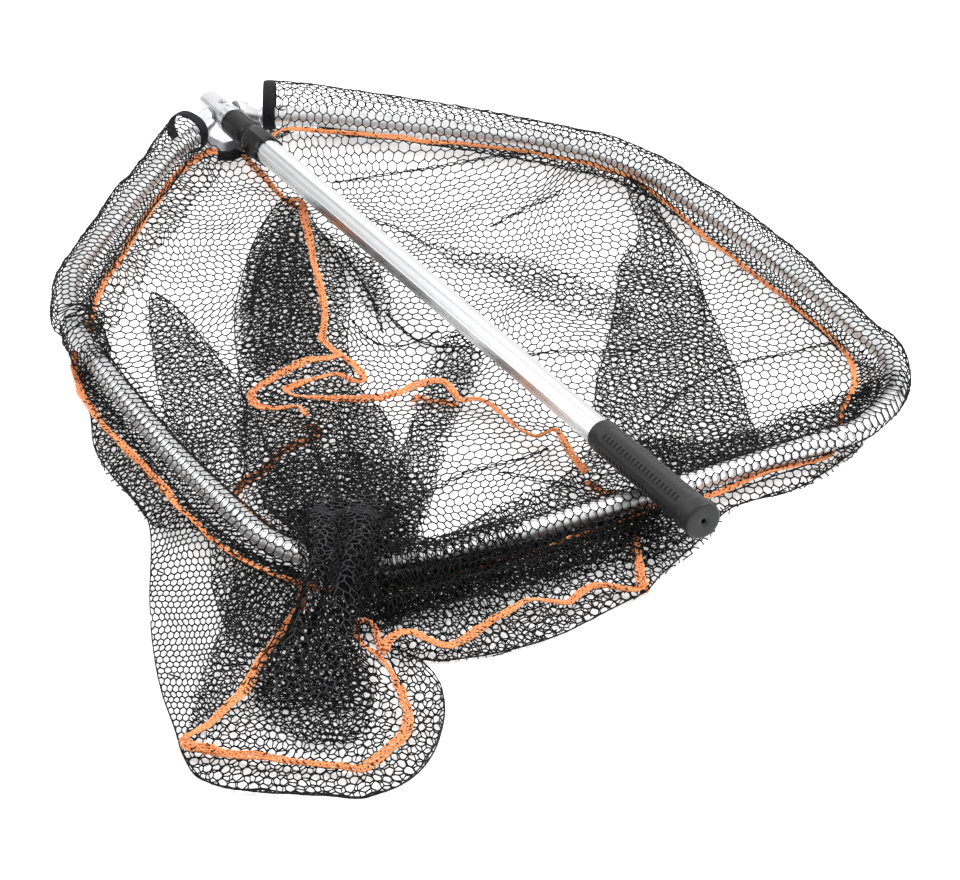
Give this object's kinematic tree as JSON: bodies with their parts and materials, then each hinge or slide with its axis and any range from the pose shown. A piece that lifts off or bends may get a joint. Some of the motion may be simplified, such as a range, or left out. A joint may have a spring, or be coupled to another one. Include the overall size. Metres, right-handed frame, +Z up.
{
  "type": "folding landing net",
  "caption": "Folding landing net: wide aluminium hoop with a soft mesh bag and orange tapes, a cast yoke, and a telescopic octagonal handle that folds flat over the net.",
  "frame": {"origin": "on the ground under the middle of the hoop, on the underside of the collapsed bag, 0.4 m in front of the fold pivot", "axes": "+Z up with the net lying flat as stored; +Y from the yoke along the stowed handle to the hoop's far bar; +X across the hoop"},
  "size_m": [0.8068, 1.0307, 0.0641],
  "materials": {
    "drawn_aluminium": "satin drawn tube",
    "cast_aluminium": "tumbled casting",
    "steel": "bright zinc",
    "black_plastic": "satin moulded nylon",
    "seal_rubber": "smooth",
    "grip_rubber": "matt, ribbed",
    "grey_nylon": "plain moulded",
    "net_mesh": "rubber-coated knotless hexagonal mesh",
    "black_tape": "woven binding tape",
    "orange_tape": "open knitted tape"
  },
  "bodies": {
    "net_frame": {"apex_hem_tape": "black_tape", "base_ribbon": "orange_tape", "binding_band_left": "black_tape", "binding_band_right": "black_tape", "hem_ribbon_left": "orange_tape", "hem_ribbon_right": "orange_tape", "hoop_rivet_left": "steel", "hoop_rivet_right": "steel", "hoop_tube": "drawn_aluminium", "net_bag": "net_mesh", "net_sleeve_far": "net_mesh", "net_sleeve_left": "net_mesh", "net_sleeve_right": "net_mesh", "pivot_nut": "steel", "pivot_pin": "steel", "seam_ribbon_apex": "orange_tape", "seam_ribbon_left": "orange_tape", "seam_ribbon_right": "orange_tape", "tape_tail": "black_tape", "thrust_washer_left": "grey_nylon", "thrust_washer_right": "grey_nylon", "yoke": "cast_aluminium"},
    "handle_base": {"hinge_barrel": "cast_aluminium", "barrel_plug": "black_plastic", "button_spring": "steel", "ferrule": "drawn_aluminium", "inner_tube": "drawn_aluminium", "tube_rivet": "steel", "guide_bush": "grey_nylon"},
    "lock_button": {"lock_button": "steel"},
    "handle_outer": {"outer_tube": "drawn_aluminium", "collar_base": "black_plastic", "lock_collet": "grey_nylon", "rubber_grip": "grip_rubber", "tube_end_plug": "grey_nylon"},
    "lock_collar": {"locking_collar": "black_plastic", "collar_seal": "seal_rubber"}
  },
  "joints": [
    {"name": "handle_fold", "type": "hinge", "parent": "net_frame", "child": "handle_base", "pos_m": [0, -0.4, 0.0237], "axis": [1, 0, 0], "range_deg": [0, 178.3]},
    {"name": "button_press", "type": "slide", "parent": "handle_base", "child": "lock_button", "axis": [0, 0.0285, -0.9996], "range_m": [0, 0.0022], "stiffness_N_per_m": 400, "deforming": ["button_spring"]},
    {"name": "handle_extend", "type": "slide", "parent": "handle_base", "child": "handle_outer", "axis": [0, 0.9996, 0.0285], "range_m": [0, 0.62]},
    {"name": "collar_twist", "type": "hinge", "parent": "handle_outer", "child": "lock_collar", "pos_m": [0, -0.4, 0.0237], "axis": [0, 0.9996, 0.0285], "range_deg": [0, 120]}
  ]
}
